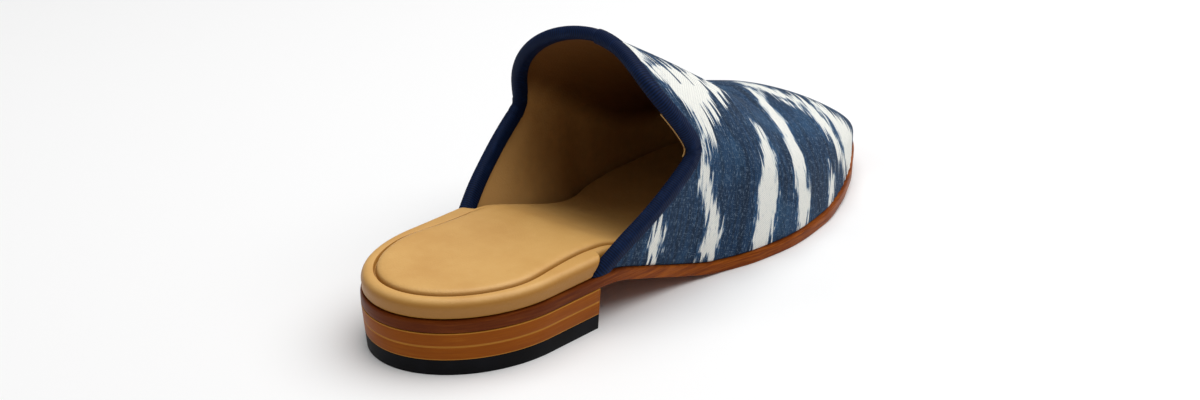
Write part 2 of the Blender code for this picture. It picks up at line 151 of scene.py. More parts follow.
def soleUnderside(along):
    start, end = last["treadStart"] * length, last["treadEnd"] * length
    down = np.clip((along - last["heelLength"]) / (start - last["heelLength"]), 0, 1)
    up = np.clip((along - end) / (length - end), 0, 1)
    return heelRise * archShare(down) + last["toeSpring"] * up ** last["springPower"]


def soleTop(along):
    return soleUnderside(along) + last["soleThickness"]


# The frame's origin lies under the middle of the whole shoe's box.
everywhere = np.linspace(0, length, 400)
outermost = (centreLine(everywhere) + halfWidth(everywhere)).max()
innermost = (centreLine(everywhere) - halfWidth(everywhere)).min()
sideShift = -(outermost + innermost) / 2


def toFrame(points):
    moved = np.array(points, float)
    moved[..., 0] += sideShift
    moved[..., 1] -= length / 2
    return moved


# How many places round each end and down each side, with more where the wings start.
stations = {"end": 34, "side": 110, "wing": 29, "wingFrom": 63 * mm, "wingTo": 77 * mm, "apart": 0.3 * mm,
            "beforeCut": 0.8 * mm}


def planStations(end=length):
    quarter = np.linspace(0, math.pi / 2, stations["end"])
    heel = last["heelCurve"] * (1 - np.cos(quarter))
    side = np.linspace(last["heelCurve"], length - last["toeCurve"], stations["side"])
    wing = np.linspace(stations["wingFrom"], stations["wingTo"], stations["wing"])
    clear = (side < wing[0] - stations["apart"]) | (side > wing[-1] + stations["apart"])
    side = np.sort(np.concatenate([side[clear], wing]))
    toe = length - last["toeCurve"] * (1 - np.sin(quarter))
    places = np.concatenate([heel[:-1], side, toe[1:]])
    if end < length:
        places = np.concatenate([places[places < end - stations["beforeCut"]], [end]])
    return places


def valuesAt(along, value):
    return value(along) if callable(value) else np.full(len(along), value)


def planLoop(inset, end=length, corner=0.0):
    along = planStations(end)
    whole = end >= length
    middle, half = centreLine(along), halfWidth(along)
    stop = -1 if whole else None
    x = np.concatenate([middle + half, (middle - half)[1:stop][::-1]])
    y = np.concatenate([along, along[1:stop][::-1]])
    loop = np.stack([x, y], 1)
    towards = np.roll(loop, -1, 0) - np.roll(loop, 1, 0)
    front = len(along) - 1
    if not whole:
        towards[front] = loop[front] - loop[front - 1]
        towards[front + 1] = loop[front + 2] - loop[front + 1]
    normal = np.stack([towards[:, 1], -towards[:, 0]], 1)
    normal /= np.linalg.norm(normal, axis=1)[:, None]
    moved = loop - normal * valuesAt(loop[:, 1], inset)[:, None]
    if not whole:
        moved[front:front + 2, 1] = end - corner
    return moved


def addObject(name, data):
    made = bpy.data.objects.new(name, data)
    bpy.context.scene.collection.objects.link(made)
    return made


def makePiece(name, points, faces, material, replaces=(), sharp=40, attributes=None):
    mesh = bpy.data.meshes.new(name)
    mesh.from_pydata([tuple(p) for p in toFrame(points)], [], faces)
    for key, values in (attributes or {}).items():
        layer = mesh.attributes.new(key, "FLOAT_VECTOR", "POINT")
        layer.data.foreach_set("vector", np.asarray(values, np.float32).ravel())
    mesh.shade_smooth()
    mesh.set_sharp_from_angle(angle=math.radians(sharp))
    mesh.materials.append(material)
    piece = addObject(name, mesh)
    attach(piece, "root")
    if replaces:
        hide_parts(*replaces)
    return piece


def ringFaces(rows, count):
    at = np.arange(rows * count).reshape(rows, count)
    beside = np.roll(at, -1, 1)
    return [*zip(at[:-1].ravel(), beside[:-1].ravel(), beside[1:].ravel(), at[1:].ravel())]


def ringSolid(rings, across=1, whole=True, crown=None, crownFrom=0):
    # Stacks the rings, and closes the lowest and the highest with rows of faces from side to side.
    count = len(rings[0])
    points = [np.asarray(loop) for loop in rings]
    faces = ringFaces(len(rings), count)
    used = len(rings) * count
    for base, up in ((0, False), ((len(rings) - 1) * count, True)):
        topStart = used
        loop = points[base // count]
        rungs = count // 2 if whole else (count - 1) // 2
        grid = []
        for right in range(rungs + 1):
            left = (count - right) % count
            if right == left:
                grid.append([base + right] * (across + 1))
                continue
            row = [base + right]
            for k in range(1, across):
                t = k / across
                row.append(used)
                points.append((loop[right] * (1 - t) + loop[left] * t)[None])
                used += 1
            grid.append(row + [base + left])
        for a, b in zip(grid[:-1], grid[1:]):
            for k in range(across):
                face = list(dict.fromkeys((a[k], b[k], b[k + 1], a[k + 1])))
                if len(face) > 2:
                    faces.append(face[::-1] if not up else face)
    flat = np.concatenate(points)
    if crown is not None:
        order = np.arange(len(flat))
        onRings = (order >= crownFrom * count) & (order < len(rings) * count)
        flat[:, 2] += crown(flat, onRings | (order >= topStart))
    return flat, faces


def ring(inset, height, end=length, corner=0.0):
    loop = planLoop(inset, end, corner)
    return np.column_stack([loop, valuesAt(loop[:, 1], height)])


# The upper's surface. A turn runs from -1, the inner feather edge, over 0, the ridge, to 1.
upper = {
    "tongueHeight": 97 * mm,
    "toeBox": 29 * mm,
    "noseCurve": 60 * mm,
    "nosePower": 2.1,
    "flare": 8.2 * mm,
    "lean": 3.4 * mm,
    "featherLift": 0.5 * mm,
    "toeLedge": 0.6 * mm,
    "wallShare": 0.42,
    "wingStart": 68.5 * mm,
    "kink": 116.3 * mm,
    "tongue": 113 * mm,
    "swell": 5.5 * mm,
    "outerSwell": 6.3 * mm,
    "kinkRound": 4.7 * mm,
    "ridgeEase": 0.08,
    "clothThickness": 1.0 * mm,
    "columns": 240,
    "rows": 150,
    "leanPower": 1.2,
    "swellPower": 0.85,
    "underKink": 17,        # how fast the tongue's line falls away under the kink
    "ledgeFrom": 0.80,      # shares of the length between which the ledge narrows
    "ledgeTo": 0.97,
    "edgeIn": 1.1 * mm,     # how far inside the tape the cloth ends
    "tuck": ((0.30 * mm, 0.25 * mm), (0.75 * mm, 0.42 * mm)),
    "liningDrop": 0.4,
    "evenShare": 0.3,       # the rest of the rows lie closer together towards the toe
    "tip": 0.15 * mm,
    "cornerTurns": 0.045,
    "liningColumns": 161,
    "liningRows": 90,
    "liningGap": 0.05 * mm,
    "foldsShare": 0.9,
}
upperEnd = length - upper["toeLedge"]
kinkTurn = 1 - upper["wallShare"]
# Small steps for slopes along a turn and along the shoe.
turnStep, alongStep = 1e-3, 0.2 * mm


def featherHalf(along):
    stretched = along * length / upperEnd
    widths = planWidth(along / length) / 2 * endRounding(stretched)
    nearToe = smoothStep(upper["ledgeFrom"] * length, upper["ledgeTo"] * length, along)
    ledge = last["ledge"] + (upper["toeLedge"] - last["ledge"]) * nearToe
    return np.maximum(widths - ledge * endRounding(stretched), 0)


def nose(along):
    run = np.clip((along - (upperEnd - upper["noseCurve"])) / upper["noseCurve"], 0, 1)
    return (1 - run ** upper["nosePower"]) ** (1 / upper["nosePower"])


def upperSurface(turn, along):
    turn, along = np.broadcast_arrays(np.asarray(turn, float), np.asarray(along, float))
    side = np.where(turn < 0, -1.0, 1.0)
    climb = 1 - np.abs(turn)
    share = along / length
    base = soleTop(along) + upper["featherLift"]
    ridge = upper["toeBox"] + (upper["tongueHeight"] - upper["toeBox"]) * sectionTop(share)
    height = (ridge - base) * nose(along)
    narrow = featherHalf(along)
    wide = narrow + upper["flare"] * sectionFlare(share)
    full = sectionFull(share) - np.where(turn > 0, sectionSlope(share), 0)
    widest = sectionWidest(share)
    up = climb / upper["wallShare"]
    over = np.clip((climb - upper["wallShare"]) / kinkTurn, 0, 1) * math.pi / 2
    onWall = climb < upper["wallShare"]
    reach = np.where(onWall, narrow + (wide - narrow) * np.sin(np.minimum(up, 1) * math.pi / 2),
                     wide * np.cos(over) ** (2 / full))
    rise = np.where(onWall, height * widest * up,
                    height * (widest + (1 - widest) * np.sin(over) ** (2 / full)))
    lean = upper["lean"] * sectionLean(share) * np.clip(climb, 0, 1) ** upper["leanPower"] * nose(along)
    return np.stack([centreLine(along) - lean + side * reach, along, base + rise], -1)


def upperNormal(turn, along):
    back = np.minimum(along, upperEnd - 2 * alongStep)
    across = upperSurface(turn + turnStep, back) - upperSurface(turn - turnStep, back)
    ahead = upperSurface(turn, back + alongStep) - upperSurface(turn, back - alongStep)
    normal = np.cross(across, ahead)
    return normal / np.linalg.norm(normal, axis=-1, keepdims=True)


def topline(turn):
    climb = 1 - np.hypot(turn, upper["ridgeEase"])
    kink, swell = upper["kink"], upper["swell"]
    wing = upper["wingStart"] + (kink - upper["wingStart"]) * climb / upper["wallShare"]
    over = (climb - upper["wallShare"]) / kinkTurn
    held = np.clip(over, 0, 1)
    outside = upper["outerSwell"] * smoothStep(0, upper["wallShare"], turn)
    bulge = swell * np.sin(math.pi * held ** upper["swellPower"]) + outside * np.sin(math.pi * held) ** 2
    tongue = np.where(over < 0, kink - upper["underKink"] * swell * over,
                      kink + (upper["tongue"] - kink) * over - bulge)
    return (wing + tongue - np.sqrt((wing - tongue) ** 2 + upper["kinkRound"] ** 2)) / 2


def midWall(turn, along):
    return upperSurface(turn, along) - last["wall"] / 2 * upperNormal(turn, along)


def edgeMoved(turn, distance):
    # The turn and the place along, a distance in from the topline and square to it.
    along = topline(turn)
    here = midWall(turn, along)
    byTurn = (midWall(turn + turnStep, along) - midWall(turn - turnStep, along)) / (2 * turnStep)
    byAlong = (midWall(turn, along + alongStep) - here) / alongStep
    slope = (topline(turn + turnStep) - topline(turn - turnStep)) / (2 * turnStep)
    edge = byTurn + byAlong * slope[..., None]
    edge /= np.linalg.norm(edge, axis=-1, keepdims=True)
    inwards = np.cross(edge, upperNormal(turn, along))
    inwards *= np.sign((inwards * byAlong).sum(-1, keepdims=True))
    aa, ab, bb = (byTurn * byTurn).sum(-1), (byTurn * byAlong).sum(-1), (byAlong * byAlong).sum(-1)
    pa, pb = (byTurn * inwards).sum(-1), (byAlong * inwards).sum(-1)
    share = distance / (aa * bb - ab * ab)
    return turn + share * (pa * bb - pb * ab), along + share * (pb * aa - pa * ab)


def evenTurns(count, reach=1.0, crowd=3.0):
    # Turns at even steps along the topline, closer together at the kinks.
    dense = np.linspace(-reach, reach, 3000)
    path = midWall(dense, topline(dense))
    steps = np.linalg.norm(np.diff(path, axis=0), axis=1)
    middles = 1 - (np.abs(dense[1:]) + np.abs(dense[:-1])) / 2
    weight = 1 + crowd * np.exp(-(((middles - upper["wallShare"]) / upper["cornerTurns"]) ** 2))
    travelled = np.concatenate([[0], np.cumsum(steps * weight)])
    return np.interp(np.linspace(0, travelled[-1], count), travelled, dense)


# How far a place lies from the ridge, over the surface: what the cloth's own threads follow.
chartAlong = np.linspace(60 * mm, upperEnd - 0.02 * mm, 240)
chartTurn = np.linspace(-1, 1, 321)
chartMiddle = len(chartTurn) // 2
chartSurface = upperSurface(chartTurn[None, :], chartAlong[:, None])
chartArc = np.cumsum(np.linalg.norm(np.diff(chartSurface, axis=1), axis=2), axis=1)
chartArc = np.concatenate([np.zeros((len(chartAlong), 1)), chartArc], 1)
chartArc -= chartArc[:, chartMiddle:chartMiddle + 1]


def clothPlace(turn, along):
    # Along the shoe and down from the ridge, in mm.
    justUnder = 0.001
    a = (along - chartAlong[0]) / (chartAlong[1] - chartAlong[0])
    a = np.clip(a, 0, len(chartAlong) - 1 - justUnder)
    t = np.clip((turn + 1) * chartMiddle, 0, 2 * chartMiddle - justUnder)
    i, j = a.astype(int), t.astype(int)
    p, q = a - i, t - j
    down = ((chartArc[i, j] * (1 - p) + chartArc[i + 1, j] * p) * (1 - q)
            + (chartArc[i, j + 1] * (1 - p) + chartArc[i + 1, j + 1] * p) * q)
    return along / mm, down / mm


def hexColour(code):
    parts = [int(code[i:i + 2], 16) / 255 for i in (1, 3, 5)]
    return (*[c / 12.92 if c <= 0.04045 else ((c + 0.055) / 1.055) ** 2.4 for c in parts], 1)


def addNode(tree, kind, inputs, **settings):
    # Adds one node. An input is a number, a colour, a socket, or a node, whose first output is linked.
    node = tree.nodes.new("ShaderNode" + kind)
    for key, value in settings.items():
        setattr(node, key, value)
    for key, value in inputs.items():
        if isinstance(value, bpy.types.Node):
            value = next(output for output in value.outputs if output.enabled)
        if isinstance(value, bpy.types.NodeSocket):
            tree.links.new(value, node.inputs[key])
        else:
            node.inputs[key].default_value = value
    return node


def newMaterial(name, **shaderInputs):
    material = bpy.data.materials.new(name)
    material.use_nodes = True
    tree = material.node_tree
    shader = tree.nodes["Principled BSDF"]
    for key, value in shaderInputs.items():
        shader.inputs[key.replace("_", " ")].default_value = value
    return material, tree, shader


def addGrain(tree, place, unit, rows):
    # Clouded patterns, each stretched to its own real size along the three axes.
    grain = {}
    for name, (x, y, z, detail, roughness) in rows.items():
        scaled = addNode(tree, "VectorMath", {0: place, 1: (1 / (x * unit), 1 / (y * unit), 1 / (z * unit))},
                         operation="MULTIPLY")
        grain[name] = addNode(tree, "TexNoise", {"Vector": scaled, "Scale": 1, "Detail": detail,
                                                 "Roughness": roughness})
    return grain


def addStains(tree, ground, stains, sources, look):
    # Each stain lies over the ground where its source runs from low to high.
    for source, low, high, least, most, colour in stains:
        share = addNode(tree, "MapRange", {0: sources[source], 1: low, 2: high, 3: least, 4: most},
                        interpolation_type="SMOOTHSTEP")
        over = hexColour(look[colour]) if isinstance(look[colour], str) else look[colour]
        ground = addNode(tree, "Mix", {0: share, 6: ground, 7: over}, data_type="RGBA")
    return ground


def addFinish(tree, shader, colour, height, look):
    tree.links.new(colour.outputs[2], shader.inputs["Base Color"])
    bump = addNode(tree, "Bump", {"Height": height, "Distance": look["relief"], "Strength": look["strength"]})
    tree.links.new(bump.outputs[0], shader.inputs["Normal"])


# Handwoven cotton, its threads dyed with indigo in tied bundles before weaving, so each thread's
# white ends at its own place: the motifs have spiked ends, and a paler blue halo where the dye crept.
ikat = {
    "indigo": "#1E3E60",
    "deepIndigo": "#122840",
    "washedIndigo": "#3C668C",
    "halo": "#33628F",
    "undyed": "#F6F6EF",
    "undyedShade": "#B4C0C8",
    "fleck": "#8EA6BE",
    # shade: darker threads, and painted shade in the weave's hollows
    "shade": "#14253A",
    "fray": 6.6,        # mm
    "reach": 10.0,      # mm
    "ragged": 11.0,     # mm
    "thread": 1.0,      # mm; real threads are 0.6 mm, drawn coarser to show
    "roughness": 0.88,
    "weave": 0.35,      # shares of the relief
    "weft": 0.7,
    "relief": 0.22 * mm,
    "strength": 0.8,
}
# mm across the threads, along them and up, detail, roughness
ikatGrain = {
    "strands": (2.381, 83.33, 1, 4, 0.66),
    "steps": (1.4286, 10, 1, 4, 0.6),
    "bands": (2.857, 50, 1, 3, 0.6),
    "patches": (20, 25, 1, 2, 0.5),
    "warp": (0.5263, 2.5, 1, 3, 0.65),
    "weft": (2.5, 0.5263, 1, 3, 0.65),
}
# what it follows, from, to, least, most, colour
indigoStains = (
    ("bands", 0.36, 0.66, 0, 1, "indigo"),
    ("patches", 0.5, 0.75, 0, 0.35, "washedIndigo"),
    ("motif", -2.6, 0.1, 0, 0.55, "halo"),
    ("warp", 0.54, 0.72, 0, 0.6, "fleck"),
    ("weft", 0.55, 0.74, 0, 0.5, "fleck"),
    ("warp", 0.47, 0.30, 0, 0.95, "shade"),
)
undyedStains = (
    ("motif", 0.0, 1.6, 0, 1, "undyed"),
    ("warp", 0.47, 0.28, 0, 0.45, "undyedShade"),
)
clothStains = (
    ("motif", -0.35, 0.4, 0, 1, "pale"),
    # Painted shade: the weave's low cells darken towards the shade colour.
    ("weave", 0.1, -0.9, 0, 0.3, "shade"),
)


def makeIkat():
    material, tree, shader = newMaterial("indigo_ikat_cotton", Roughness=ikat["roughness"], Sheen_Weight=0.04,
                                         Sheen_Roughness=0.5, Specular_IOR_Level=0.15)
    cloth = addNode(tree, "Attribute", {}, attribute_name="cloth").outputs["Vector"]
    across, down, _ = addNode(tree, "SeparateXYZ", {0: cloth}).outputs
    fields = addNode(tree, "Attribute", {}, attribute_name="motif").outputs["Vector"]
    before, here, after = addNode(tree, "SeparateXYZ", {0: fields}).outputs
    sources = addGrain(tree, cloth, 1, ikatGrain)
    # Each bundle of threads is shifted along itself, so the motif's ends run out in spikes, and each
    # thread's own white ends a little sooner or later.
    offsets = {}
    for grain, reach in (("strands", ikat["fray"]), ("steps", ikat["ragged"])):
        centred = addNode(tree, "Math", {0: sources[grain], 1: 0.5}, operation="SUBTRACT")
        offsets[grain] = addNode(tree, "Math", {0: centred, 1: reach}, operation="MULTIPLY")
    onward = ("MAXIMUM", "MINIMUM", 1, here, after)
    backward = ("MINIMUM", "MAXIMUM", -1, before, here)
    motif = here
    for pastNone, upToOne, one, near, far in (onward, backward):
        held = addNode(tree, "Math", {0: offsets["strands"], 1: 0}, operation=pastNone)
        held = addNode(tree, "Math", {0: held, 1: one}, operation=upToOne)
        change = addNode(tree, "Math", {0: far, 1: near}, operation="SUBTRACT")
        moved = addNode(tree, "Math", {0: held, 1: change}, operation="MULTIPLY")
        motif = addNode(tree, "Math", {0: motif, 1: moved}, operation="ADD")
    sources["motif"] = addNode(tree, "Math", {0: motif, 1: offsets["steps"]}, operation="ADD")
    waves = []
    for distance in (across, down):
        phase = addNode(tree, "Math", {0: distance, 1: 2 * math.pi / ikat["thread"]}, operation="MULTIPLY")
        waves.append(addNode(tree, "Math", {0: phase}, operation="SINE"))
    sources["weave"] = addNode(tree, "Math", {0: waves[0], 1: waves[1]}, operation="MULTIPLY")
    blue = addStains(tree, hexColour(ikat["deepIndigo"]), indigoStains, sources, ikat)
    pale = addStains(tree, hexColour(ikat["undyedShade"]), undyedStains, sources, ikat)
    colour = addStains(tree, blue, clothStains, sources, {**ikat, "pale": pale})
    # The yarns' own lumps stand a little over the weave.
    height = sources["warp"]
    for source in ("weave", "weft"):
        height = addNode(tree, "Math", {0: sources[source], 1: ikat[source], 2: height},
                         operation="MULTIPLY_ADD")
    addFinish(tree, shader, colour, height, ikat)
    return material


# Smooth aniline calf, glazed: a clouded tan with soft grain and a little gloss on the turns. Where the
# surface faces sideways or down, its colour is mixed towards a darker one: painted shade.
calf = {
    "tan": "#DAAA63",
    "warm": "#C6904A",
    "pale": "#E6BE7E",
    # rim and roof are darker colours laid as painted shade: on the footbed's sides, and on the lining where
    # it faces down.
    "rim": "#A47028",
    "lining": "#D3A564",
    "liningDeep": "#B08144",
    "roofShade": "#694520",
    "pore": 0.7,        # mm
    "poreShare": 0.25,
    "relief": 0.45 * mm,
    "strength": 0.55,
}
# mm along x, y and z, detail, roughness
calfGrain = {
    "clouds": (28.57, 28.57, 28.57, 3, 0.55),
    "mottle": (3.571, 3.571, 3.571, 4, 0.6),
    "folds": (6.25, 14.286, 6.25, 4, 0.6),
}


# turned names the colour of the painted shade on faces that turn away from up; the two numbers after it are
# where it starts and where it is full.
def makeCalf(name, roughness, tan, warm, pale, turned, shadeFrom, shadeTo, creasing):
    material, tree, shader = newMaterial(name, Roughness=roughness, Specular_IOR_Level=0.4)
    place = addNode(tree, "TexCoord", {}).outputs["Object"]
    sources = addGrain(tree, place, mm, calfGrain)
    facing = addNode(tree, "NewGeometry", {}).outputs["Normal"]
    sources["upright"] = addNode(tree, "SeparateXYZ", {0: facing}).outputs["Z"]
    # what it follows, from, to, least, most, colour
    stains = (
        ("clouds", 0.25, 0.7, 0.45, 1, tan),
        ("mottle", 0.5, 0.8, 0, 0.12, pale),
        ("mottle", 0.45, 0.2, 0, 0.12, warm),
        # Painted shade: the colour darkens as the surface turns from facing up to facing sideways or down.
        ("upright", shadeFrom, shadeTo, 0, 1, turned),
    )
    colour = addStains(tree, hexColour(calf[warm]), stains, sources, calf)
    inMm = addNode(tree, "VectorMath", {0: place, 1: (1 / mm, 1 / mm, 1 / mm)}, operation="MULTIPLY")
    pores = addNode(tree, "TexVoronoi", {"Vector": inMm, "Scale": 1 / calf["pore"]}, feature="SMOOTH_F1")
    folded = addNode(tree, "Math", {0: sources["folds"], 1: creasing}, operation="MULTIPLY")
    height = addNode(tree, "Math", {0: pores, 1: calf["poreShare"], 2: folded}, operation="MULTIPLY_ADD")
    addFinish(tree, shader, colour, height, calf)
    return material


# Vegetable-tanned sole leather, its edge stained, waxed and burnished: fibres show as fine streaks.
# Towards the heel end the edge is mixed towards a darker colour: painted shade.
# seat is the darker colour of the painted shade at the heel end; seatShadeFrom and seatShadeTo are where it
# starts and where it is full.
soleEdge = {"stain": "#9B5015", "dark": "#703109", "light": "#C0732A", "seatShade": "#4B1A02"}
stackEdge = {"stain": "#9A530A", "dark": "#793B07", "light": "#C48736", "seatShade": "#924B09"}
edgeFinish = {"roughness": 0.42, "relief": 0.08 * mm, "strength": 0.5, "seatShadeFrom": -45 * mm,
              "seatShadeTo": -85 * mm, "jointInner": 0.15 * mm, "jointOuter": 0.55 * mm}
edgeGrain = {
    "fibres": (16.667, 16.667, 0.7143, 5, 0.65),
    "clouds": (16.667, 16.667, 16.667, 3, 0.5),
}


def makeSoleLeather(name, look, jointHeights=()):
    material, tree, shader = newMaterial(name, Roughness=edgeFinish["roughness"], Specular_IOR_Level=0.08)
    place = addNode(tree, "TexCoord", {}).outputs["Object"]
    sources = addGrain(tree, place, mm, edgeGrain)
    _, sources["along"], height = addNode(tree, "SeparateXYZ", {0: place}).outputs
    stains = [
        ("fibres", 0.35, 0.65, 0, 1, "stain"),
        ("fibres", 0.55, 0.8, 0, 0.7, "light"),
        ("clouds", 0.55, 0.3, 0, 0.4, "dark"),
        # Painted shade, darkening the edge towards the heel end.
        ("along", edgeFinish["seatShadeFrom"], edgeFinish["seatShadeTo"], 0, 0.7, "seatShade"),
    ]
    # A lighter line along each joint between two layers.
    for joint in jointHeights:
        offset = addNode(tree, "Math", {0: height, 1: joint}, operation="SUBTRACT")
        sources[joint] = addNode(tree, "Math", {0: offset}, operation="ABSOLUTE")
        stains.append((joint, edgeFinish["jointOuter"], edgeFinish["jointInner"], 0, 0.75, "light"))
    colour = addStains(tree, hexColour(look["dark"]), stains, sources, look)
    addFinish(tree, shader, colour, sources["fibres"], edgeFinish)
    return material


# Nitrile rubber, moulded: matt and near black, with a fine grit from the mould.
rubber = {"black": "#060609", "bloom": "#0D0E14", "roughness": 0.55, "relief": 0.08 * mm, "strength": 0.5}
rubberGrain = {
    "grit": (0.8333, 0.8333, 0.8333, 3, 0.6),
    "clouds": (12.5, 12.5, 12.5, 2, 0.5),
}


def makeRubber():
    material, tree, shader = newMaterial("moulded_black_rubber", Roughness=rubber["roughness"],
                                         Specular_IOR_Level=0.1)
    sources = addGrain(tree, addNode(tree, "TexCoord", {}).outputs["Object"], mm, rubberGrain)
    stains = [("clouds", 0.35, 0.7, 0, 1, "bloom")]
    colour = addStains(tree, hexColour(rubber["black"]), stains, sources, rubber)
    addFinish(tree, shader, colour, sources["grit"], rubber)
    return material


# Navy cotton grosgrain cut on the bias: close ribs run across the tape, worn paler in places. The troughs
# between the ribs are painted darker: painted shade.
tape = {"navy": "#0F2145", "deep": "#081226", "worn": "#1B315A", "rib": 0.9, "wander": 3.0,
        "ribShare": 0.3, "roughness": 0.6, "relief": 0.18 * mm, "strength": 0.7}
# mm along the tape, across it and up, detail, roughness
tapeGrain = {
    "wobble": (5, 2.5, 1, 2, 0.5),
    "soft": (8.333, 3.333, 1, 3, 0.6),
}


def makeTape():
    material, tree, shader = newMaterial("navy_cotton_grosgrain", Roughness=tape["roughness"],
                                         Specular_IOR_Level=0.08)
    place = addNode(tree, "Attribute", {}, attribute_name="tape").outputs["Vector"]
    sources = addGrain(tree, place, 1, tapeGrain)
    along = addNode(tree, "SeparateXYZ", {0: place}).outputs["X"]
    wander = addNode(tree, "Math", {0: sources["wobble"], 1: tape["wander"]}, operation="MULTIPLY")
    phase = addNode(tree, "Math", {0: along, 1: 2 * math.pi / tape["rib"], 2: wander},
                    operation="MULTIPLY_ADD")
    sources["ribs"] = addNode(tree, "Math", {0: phase}, operation="SINE")
    # Painted shade: the ribs' troughs take the deep colour and their crests the navy.
    stains = [("ribs", -0.9, 0.9, 0, 1, "navy"), ("soft", 0.5, 0.75, 0, 0.4, "worn")]
    colour = addStains(tree, hexColour(tape["deep"]), stains, sources, tape)
    height = addNode(tree, "Math", {0: sources["ribs"], 1: tape["ribShare"], 2: sources["soft"]},
                     operation="MULTIPLY_ADD")
    addFinish(tree, shader, colour, height, tape)
    return material


ikatCotton = makeIkat()
# The footbed's sides take painted shade in the rim colour; the lining's downward faces take painted shade in
# a dark brown.
footbedCalf = makeCalf("footbed_glazed_calf", 0.46, "tan", "warm", "pale", "rim", 0.92, 0.25, 0.5)
liningCalf = makeCalf("lining_glazed_calf", 0.52, "lining", "liningDeep", "tan", "roofShade", 0.05, -0.5, 1.1)
edgeLeather = makeSoleLeather("burnished_sole_leather", soleEdge)
firstJoint = last["topPiece"] + last["gap"] / 2
joints = [firstJoint + n * (last["liftThickness"] + last["gap"]) for n in range(3)]
stackLeather = makeSoleLeather("burnished_stacked_leather", stackEdge, joints)
blackRubber = makeRubber()
navyTape = makeTape()
print("materials made")


# How far in and how high the rings of the sole's edge lie: mm, share of the thickness.
soleRows = ((0.4, 0.0), (0.15, 0.03), (0.03, 0.09), (0.0, 0.3), (0.0, 0.7), (0.08, 0.86), (0.4, 0.965),
            (1.0, 1.0))


def soleRing(inset, share):
    return ring(inset, lambda y: soleUnderside(y) + share * last["soleThickness"])


outsolePoints, outsoleFaces = ringSolid([soleRing(inset * mm, share) for inset, share in soleRows])
makePiece("leather_outsole", outsolePoints, outsoleFaces, edgeLeather, ["outsole"])

# The layers reach on to meet at their glued joints, each with a small bevel.
heel = {"taper": 1.3 * mm, "bevel": 0.12 * mm, "glue": 0.14 * mm}
# shares of the bevel: how far from the layer's face, how far in from its side
bevelRows = ((0.0, 1.0), (0.4, 0.25), (1.0, 0.0))


def heelLayer(name, low, high, material, node):
    low, high = max(low - heel["glue"], 0), high + heel["glue"]
    rows = [(low + heel["bevel"] * share, heel["bevel"] * inwards) for share, inwards in bevelRows]
    rows += [(high - heel["bevel"] * share, heel["bevel"] * inwards) for share, inwards in bevelRows[::-1]]
    rings = [ring(heel["taper"] * (1 - z / heelRise) + inset, z, last["heelLength"], inset)
             for z, inset in rows]
    points, faces = ringSolid(rings, whole=False)
    makePiece(name, points, faces, material, [node], sharp=30)


heelLayer("heel_rubber_top_piece", 0, last["topPiece"], blackRubber, "heel_top_piece")
layerLow = last["topPiece"] + last["gap"]
for number in (1, 2):
    heelLayer(f"heel_leather_lift_{number}", layerLow, layerLow + last["liftThickness"], stackLeather,
              f"heel_lift_{number}")
    layerLow += last["liftThickness"] + last["gap"]
print("sole and heel made")


footbed = {
    "thickness": 7 * mm,
    "setback": 0.5 * mm,
    "rimRound": 2.8 * mm,
    "rimFrom": -20,         # degrees
    "rimShare": 0.5,        # of the thickness
    "rimRings": 12,
    "padRows": 26,
    "sock": 4.8 * mm,
    "sockTuck": 3.3 * mm,
    "sockTuckFrom": 0.45,   # share of the wings' start
    "bindingTape": 0.8 * mm,
    "tapeLean": 0.9,
    "tuckBefore": 2.6 * mm,
    "tuckBehind": 0.4 * mm,
    "easeFrom": 18.6 * mm,  # behind the wings' start
    "easeTo": 37.2 * mm,
    "grooveOpenTo": 84 * mm,
    "grooveGoneAt": 112 * mm,
    "dish": 1.0 * mm,
    "dishInset": 8 * mm,
    "dishFrom": 8 * mm,
    "dishTo": 30 * mm,
    "heelCup": (42 * mm, 30 * mm),
    "archRise": (105 * mm, 22 * mm, 0.6),
}
# The rim's foot: how far in, share of the thickness. Then the groove and the pad's lip inside it,
# measured from the sock's edge: how far in, lift; both in mm.
rimFoot = ((1.4, 0.0), (0.5, 0.03), (0.12, 0.12))
grooveRows = ((-0.75, 0.0), (-0.35, -0.15), (-0.05, -0.75), (0.2, -1.35), (0.45, -1.3), (0.7, -0.5),
              (1.05, 0.3), (1.7, 0.9), (3.0, 1.25), (5.2, 1.3), (8.0, 1.2))


def footbedEdge(along, share):
    # The rim runs out to the tape, which leans forward as it rises.
    inWing = last["ledge"] + last["wall"] + footbed["bindingTape"] + 2 * last["gap"]
    inUpper = last["ledge"] + last["wall"] + 3 * last["gap"]
    met = upper["wingStart"] + share * footbed["thickness"] * footbed["tapeLean"]
    tuck = smoothStep(met - footbed["tuckBefore"], met + footbed["tuckBehind"], along)
    ease = smoothStep(footbed["easeFrom"], footbed["easeTo"], along - upper["wingStart"])
    return footbed["setback"] + (inWing - footbed["setback"]) * tuck - (inWing - inUpper) * ease


def sockEdge(along):
    tuck = smoothStep(footbed["sockTuckFrom"] * upper["wingStart"], upper["wingStart"], along)
    return footbed["setback"] + footbed["sock"] + footbed["sockTuck"] * tuck


def footbedHeight(along):
    return footbed["thickness"] * footbedShare(along / length)


def footbedRing(depth, share, lift=0.0, fromSock=False):
    def inset(y):
        return (sockEdge(y) if fromSock else footbedEdge(y, share)) + depth

    def height(y):
        # The groove fades out under the vamp.
        shown = 1 - smoothStep(footbed["grooveOpenTo"], footbed["grooveGoneAt"], y)
        return soleTop(y) + last["gap"] + share * footbedHeight(y) + lift * shown

    return ring(inset, height)


rimRings = [footbedRing(inset * mm, share) for inset, share in rimFoot]
for angle in np.radians(np.linspace(footbed["rimFrom"], 90, footbed["rimRings"])):
    share = 1 - footbed["rimShare"] * (1 - math.sin(angle))
    rimRings.append(footbedRing(footbed["rimRound"] * (1 - math.cos(angle)), share))
crownFrom = len(rimRings)
for depth, lift in grooveRows:
    rimRings.append(footbedRing(depth * mm, 1.0, lift * mm, True))


